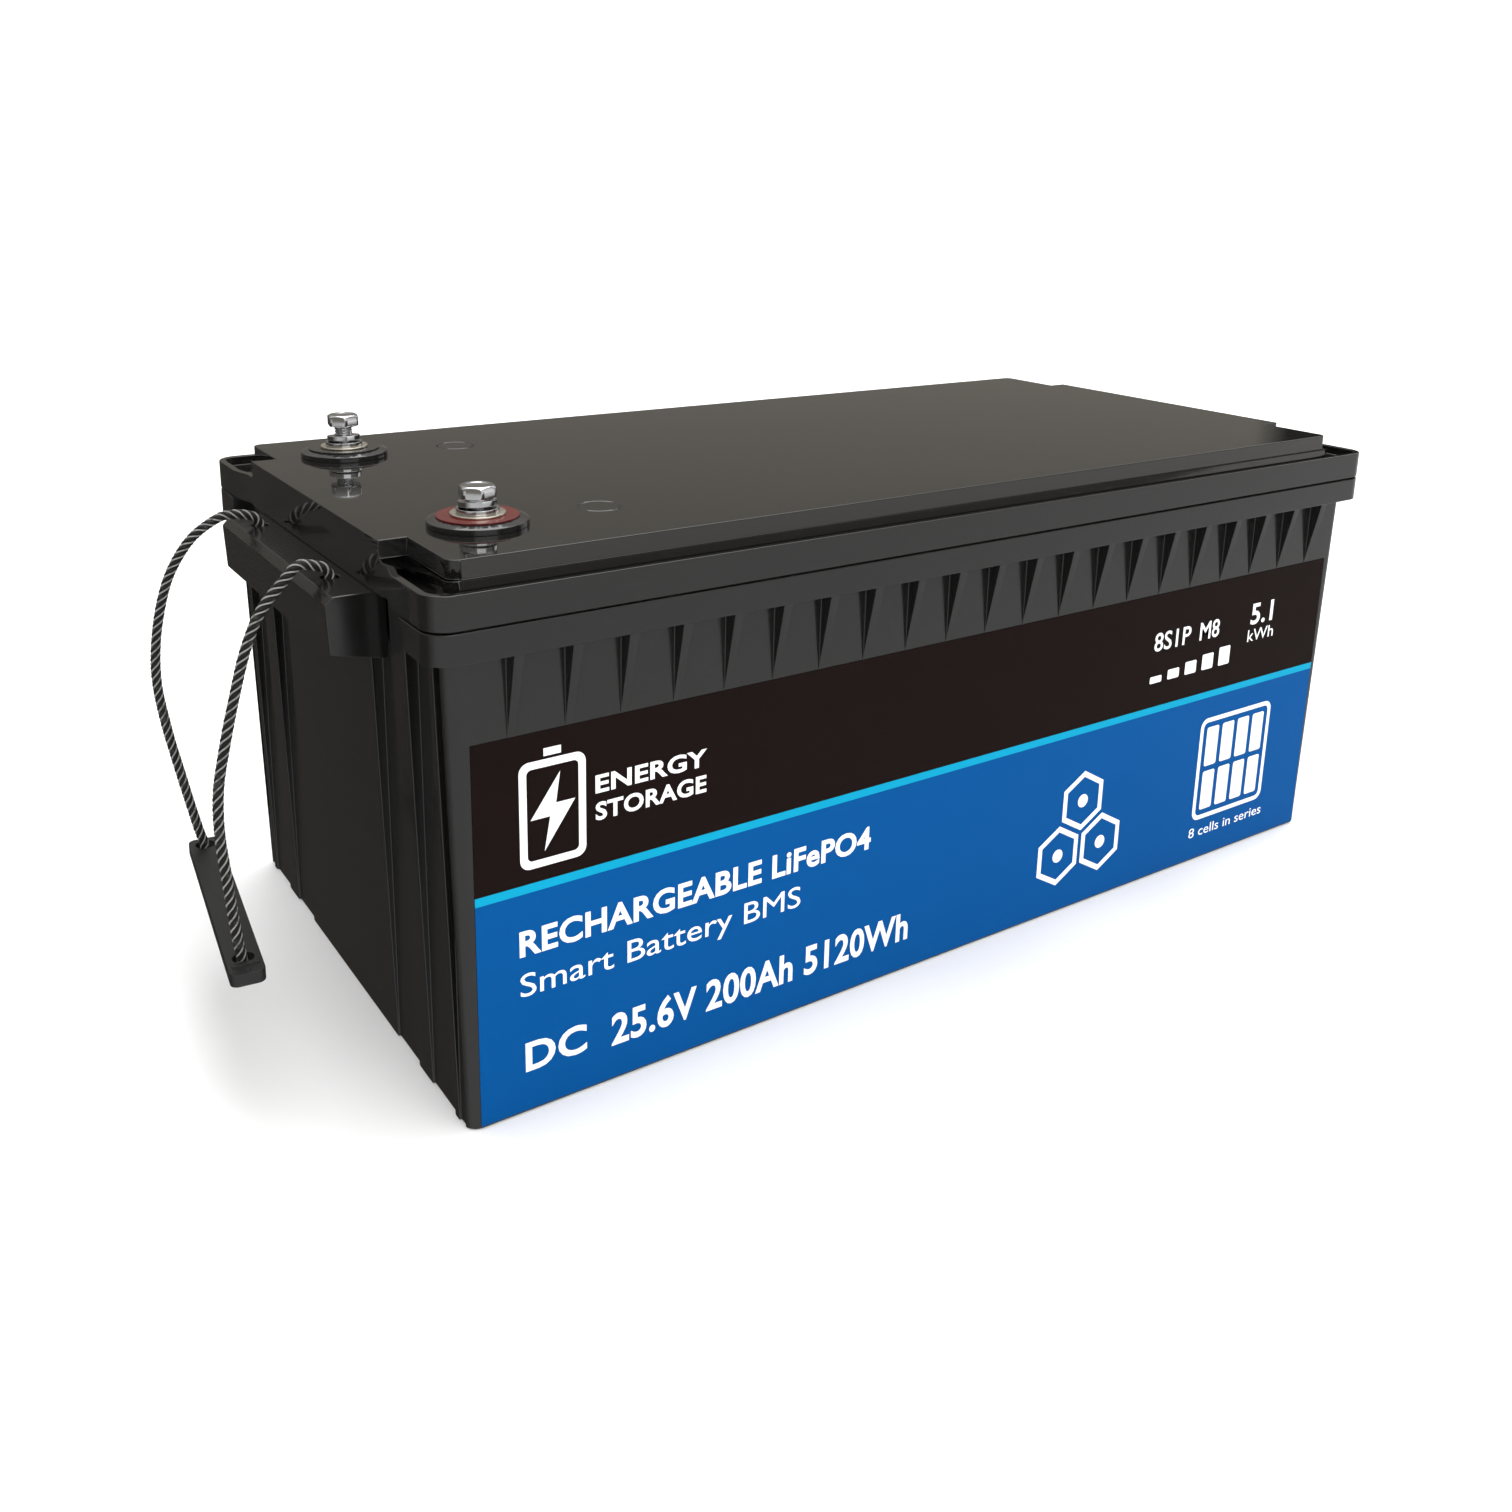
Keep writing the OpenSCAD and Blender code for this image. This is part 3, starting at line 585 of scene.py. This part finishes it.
def head_rings(middle, head_low, top):
    """The washer face, the hexagon with its chamfered corners and the dished top."""
    flat_turn = np.radians((np.degrees(BOLT_TURN) - HEAD_TURN) % 60 - 30)
    hexagon = HEAD_FLATS / 2 / np.cos(flat_turn)
    fall = np.maximum(hexagon - HEAD_CHAMFER, 0) * 0.55
    profile = [(WASHER_FACE, head_low), (WASHER_FACE, head_low + 0.35 * MM),
               (hexagon - 0.25 * MM, head_low + 0.36 * MM), (hexagon, head_low + 0.65 * MM),
               (hexagon, top - fall - 0.35 * MM), (hexagon - 0.1 * MM, top - fall - 0.12 * MM),
               (np.minimum(hexagon, HEAD_CHAMFER) * 0.985, top - 0.03 * MM),
               (HEAD_CHAMFER * 0.95, top), (HEAD_CHAMFER * 0.74, top),
               (HEAD_CHAMFER * 0.70, top - 0.12 * MM), (HEAD_CHAMFER * 0.6, top - 0.3 * MM),
               (HEAD_CHAMFER * 0.2, top - 0.34 * MM)]
    return [bolt_ring(middle, radius, height) for radius, height in profile]


def make_bolt(pole):
    """A hexagon head on a threaded shank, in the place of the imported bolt."""
    low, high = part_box(pole + "_bolt")
    middle = (low + high) / 2
    head_low = high.z - HEAD_HEIGHT
    rings = thread_rings(middle, low.z, head_low) + head_rings(middle, head_low, high.z)
    piece = lathe(pole + "_bolt_turned", rings)
    split = piece.modifiers.new("split", "EDGE_SPLIT")
    split.split_angle = math.radians(38)
    piece.data.materials.append(MATERIALS["steel"])
    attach(piece, pole + "_screw")
    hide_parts(pole + "_bolt")


for pole in ("positive", "negative"):
    make_bolt(pole)


# ---- print on the label ----

PRINT_RISE = 0.03 * MM
PRINT_SINK = 0.1 * MM
label_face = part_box("label")[0].y


def printed(name, curve, at=(0, 0), size=None):
    """A flat curve as white print: its lower left corner at X, Z and its width and height in millimetres."""
    curve.dimensions = "2D"
    curve.fill_mode = "BOTH"
    curve.extrude = 0.5
    maker = bpy.data.objects.new("maker", curve)
    bpy.context.scene.collection.objects.link(maker)
    bpy.context.view_layer.update()
    mesh = bpy.data.meshes.new_from_object(maker.evaluated_get(bpy.context.evaluated_depsgraph_get()))
    bpy.data.objects.remove(maker)
    points = np.array([v.co for v in mesh.vertices], float).reshape(-1, 3)
    low, high = points.min(0), points.max(0)
    if size is not None:
        flat = (points[:, :2] - low[:2]) / (high[:2] - low[:2]) * size + at
    else:
        flat = points[:, :2] + at
    front = points[:, 2] > (low[2] + high[2]) / 2
    depth = np.where(front, label_face - PRINT_RISE, label_face + PRINT_SINK)
    placed = np.stack([flat[:, 0] * MM, depth, flat[:, 1] * MM], axis=1)
    mesh.vertices.foreach_set("co", placed.astype(np.float32).ravel())
    mesh.update()
    mesh.materials.clear()
    mesh.materials.append(MATERIALS["white_ink"])
    piece = bpy.data.objects.new(name, mesh)
    bpy.context.scene.collection.objects.link(piece)
    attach(piece, "case")
    return piece


def words(name, text, left, base, width, height, weight=0.0):
    """A line of print stretched to a width and a height; a weight makes it bolder."""
    curve = bpy.data.curves.new(name, "FONT")
    curve.body = text
    curve.resolution_u = 4
    curve.offset = weight
    curve.space_character = 1 + 1.5 * weight
    printed(name, curve, (left, base), (width, height))


def outline(curve, points):
    """Adds a closed outline to a curve."""
    spline = curve.splines.new("POLY")
    spline.points.add(len(points) - 1)
    for point, (x, y) in zip(spline.points, points):
        point.co = (x, y, 0, 1)
    spline.use_cyclic_u = True


def circle(x, y, r, count=28):
    """The corner points of a circle."""
    return [(x + r * math.cos(2 * math.pi * i / count), y + r * math.sin(2 * math.pi * i / count))
            for i in range(count)]


def rectangle(x0, y0, x1, y1, r=0.0):
    """The corner points of a rectangle, with round corners if a radius is given."""
    if r == 0:
        return [(x0, y0), (x1, y0), (x1, y1), (x0, y1)]
    corners = [(x1 - r, y1 - r, 0), (x0 + r, y1 - r, 90), (x0 + r, y0 + r, 180), (x1 - r, y0 + r, 270)]
    return [(x + r * math.cos(math.radians(a + k * 15)), y + r * math.sin(math.radians(a + k * 15)))
            for x, y, a in corners for k in range(7)]


def shapes(name, outlines):
    """Outlines printed as one piece; an outline inside another is a hole in it."""
    curve = bpy.data.curves.new(name, "CURVE")
    for points in outlines:
        outline(curve, points)
    printed(name, curve)


def lightning(x, y, height):
    """A lightning bolt centred on a point."""
    plan = [(0.1, 0.5), (-0.3, -0.06), (-0.04, -0.06), (-0.12, -0.5), (0.3, 0.1), (0.04, 0.1)]
    return [(x + a * height, y + b * height) for a, b in plan]


def battery_sign(left, low, width, height):
    """An upright battery with a lightning bolt in it."""
    wall = 3.0
    nub = 7.0
    middle = left + width / 2
    return [rectangle(left, low, left + width, low + height, 4),
            rectangle(left + wall, low + wall, left + width - wall, low + height - wall, 2),
            rectangle(middle - nub / 2, low + height + 1.2, middle + nub / 2, low + height + 4.2),
            lightning(middle, low + height / 2, height * 0.72)]


def honeycomb(middle_x, middle_z, reach):
    """Three open hexagons round one point, drawn as rings."""
    rings = []
    for i in range(3):
        a = math.radians(90 + 120 * i)
        x, z = middle_x + reach * math.cos(a), middle_z + reach * math.sin(a)
        for r in (reach * 0.92, reach * 0.74):
            rings.append([(x + r * math.cos(math.radians(30 + 60 * k)),
                           z + r * math.sin(math.radians(30 + 60 * k))) for k in range(6)])
        rings.append(circle(x, z, reach * 0.2))
    return rings


def cell_sign(left, low, side):
    """A frame round eight cells in two rows."""
    wall = 2.4
    gap = 3.0
    inner = side - 2 * wall - gap
    wide = inner / 4 - gap
    tall = inner / 2 - gap
    signs = [rectangle(left, low, left + side, low + side, 5),
             rectangle(left + wall, low + wall, left + side - wall, low + side - wall, 3)]
    for i in range(4):
        for j in range(2):
            x = left + wall + gap + i * (wide + gap)
            y = low + wall + gap + j * (tall + gap)
            signs.append(rectangle(x, y, x + wide, y + tall, 1.2))
    return signs


def gauge(left, low):
    """Five bars that grow from left to right."""
    return [rectangle(left + 13 * i, low, left + 13 * i + 8.5, low + 3.5 + 1.6 * i, 0.8) for i in range(5)]


shapes("print_battery_sign", battery_sign(-227, 101, 27, 42))
words("print_energy", "ENERGY", -196, 124.4, 49, 7.4, 0.028)
words("print_storage", "STORAGE", -196, 113.4, 49, 7.4, 0.028)
words("print_chemistry", "RECHARGEABLE LiFePO4", -228, 66.2, 166, 10.8, 0.028)
words("print_system", "Smart Battery BMS", -228, 46.6, 129, 12.6)
words("print_current", "DC", -226.5, 17.4, 26, 12.6, 0.024)
words("print_rating", "25.6V 200Ah 5120Wh", -189.6, 15.2, 151.6, 14.2, 0.024)
shapes("print_cells_sign", cell_sign(156, 23, 57))
words("print_cells", "8 cells in series", 155, 13.4, 60, 5.4)
shapes("print_honeycomb", honeycomb(71, 39, 17))
words("print_layout", "8S1P", 113, 124.4, 27, 9.6, 0.01)
words("print_bolt_size", "M8", 147, 124.4, 15, 9.6, 0.01)
words("print_energy_value", "5.1", 187, 126, 18, 11.4, 0.02)
words("print_energy_unit", "kWh", 186, 117, 21, 6.4)
shapes("print_gauge", gauge(112, 108))


# ---- studio ----


def make_floor():
    """A pale round floor that curves up into a wall a long way off."""
    reach, bend, top = 3.0, 1.4, 3.2
    profile = [(0.0, 0.0), (0.6, 0.0), (1.5, 0.0), (reach, 0.0)]
    profile += [(reach + bend * math.sin(a), bend - bend * math.cos(a))
                for a in np.linspace(0, math.pi / 2, 12)[1:]]
    profile.append((reach + bend, top))
    count = 96
    vertices = [(0, 0, -0.0002)]
    for r, z in profile[1:]:
        vertices += [(r * math.cos(2 * math.pi * k / count), r * math.sin(2 * math.pi * k / count),
                      z - 0.0002) for k in range(count)]
    faces = [(0, 1 + k, 1 + (k + 1) % count) for k in range(count)]
    for i in range(len(profile) - 2):
        a, b = 1 + i * count, 1 + (i + 1) * count
        faces += [(a + k, b + k, b + (k + 1) % count, a + (k + 1) % count) for k in range(count)]
    floor = new_piece("floor", vertices, faces)
    made, tree, shader = start("floor_paper")
    tone = mix(tree, noise(tree, place(tree), 1.5, 3), (0.86, 0.86, 0.86, 1), (0.88, 0.88, 0.88, 1))
    coords = add(tree, "ShaderNodeTexCoord").outputs["Object"]
    height = add(tree, "ShaderNodeSeparateXYZ", {"Vector": coords}).outputs["Z"]
    glow = remap(tree, height, 0.0, 1.0, 0.0, 0.35)
    feed(tree, shader, Base_Color=tone, Roughness=0.95, Specular_IOR_Level=0.0,
         Emission_Color=(1, 1, 1, 1), Emission_Strength=glow)
    floor.data.materials.append(made)
    floor.visible_glossy = False


def make_light(name, place_at, aim, size, strength, colour=(1, 1, 1)):
    """A soft rectangular lamp aimed at a point."""
    data = bpy.data.lights.new(name, "AREA")
    data.shape = "RECTANGLE"
    data.size, data.size_y = size
    data.energy = strength
    data.color = colour
    light = bpy.data.objects.new(name, data)
    bpy.context.scene.collection.objects.link(light)
    light.location = place_at
    light.rotation_mode = "QUATERNION"
    light.rotation_quaternion = (Vector(aim) - Vector(place_at)).to_track_quat("-Z", "Y")
    light.visible_camera = False
    return light


# what the studio looks like in reflections
LOW_SKY = (0.29, 0.27, 0.238, 1)
HIGH_SKY = (1.15, 1.15, 1.15, 1)
FRONT_GROUND = (1.0, 1.0, 1.0, 1)
BACK_GROUND = (0.085, 0.078, 0.070, 1)
DARK_SCREEN = (0.02, 0.02, 0.02, 1)


def heading(tree, x, y, x_share, y_share):
    """How far a direction points along a level one."""
    return maths(tree, "ADD", maths(tree, "MULTIPLY", x, x_share), maths(tree, "MULTIPLY", y, y_share))


def make_world():
    """Warm grey low down, white overhead, pale below in front, dark behind, a dark screen at the right."""
    world = bpy.data.worlds.new("studio")
    world.use_nodes = True
    tree = world.node_tree
    bpy.context.scene.world = world
    way = add(tree, "ShaderNodeTexCoord").outputs["Generated"]
    parts = add(tree, "ShaderNodeSeparateXYZ", {"Vector": way})
    x, y, z = (parts.outputs[k] for k in "XYZ")
    sky = mix(tree, remap(tree, z, 0.25, 0.85, 0.0, 1.0), LOW_SKY, HIGH_SKY)
    rightward = remap(tree, heading(tree, x, y, 0.58, -0.81), 0.0, 0.02, 0.0, 1.0)
    screen = maths(tree, "MULTIPLY", rightward, remap(tree, y, -0.4, -0.34, 0.0, 1.0))
    screen = maths(tree, "MULTIPLY", screen, remap(tree, z, 0.64, 0.72, 1.0, 0.0))
    sky = mix(tree, screen, sky, DARK_SCREEN)
    backward = remap(tree, heading(tree, x, y, -0.56, 0.83), 0.05, 0.7, 0.0, 1.0)
    ground = mix(tree, backward, FRONT_GROUND, BACK_GROUND)
    above = remap(tree, z, -0.03, 0.03, 0.0, 1.0)
    tree.links.new(mix(tree, above, ground, sky), tree.nodes["Background"].inputs["Color"])
    tree.nodes["Background"].inputs["Strength"].default_value = 0.9


make_floor()
make_light("overhead", (0.4, 0.3, 2.3), (0, 0, 0.1), (2.6, 2.2), 62)
make_light("front_fill", (-0.4, -2.2, 1.3), (0, 0, 0.1), (2.2, 1.4), 22)
make_light("side_fill", (2.2, 0.4, 1.4), (0, 0, 0.1), (1.4, 1.4), 12)
make_light("front_strip", (1.15, -2.0, 0.36), (0, 0, 0.2), (2.6, 0.4), 3)
make_world()
bpy.context.scene.view_settings.view_transform = "Standard"


# ---- hand over ----

bpy.context.view_layer.update()
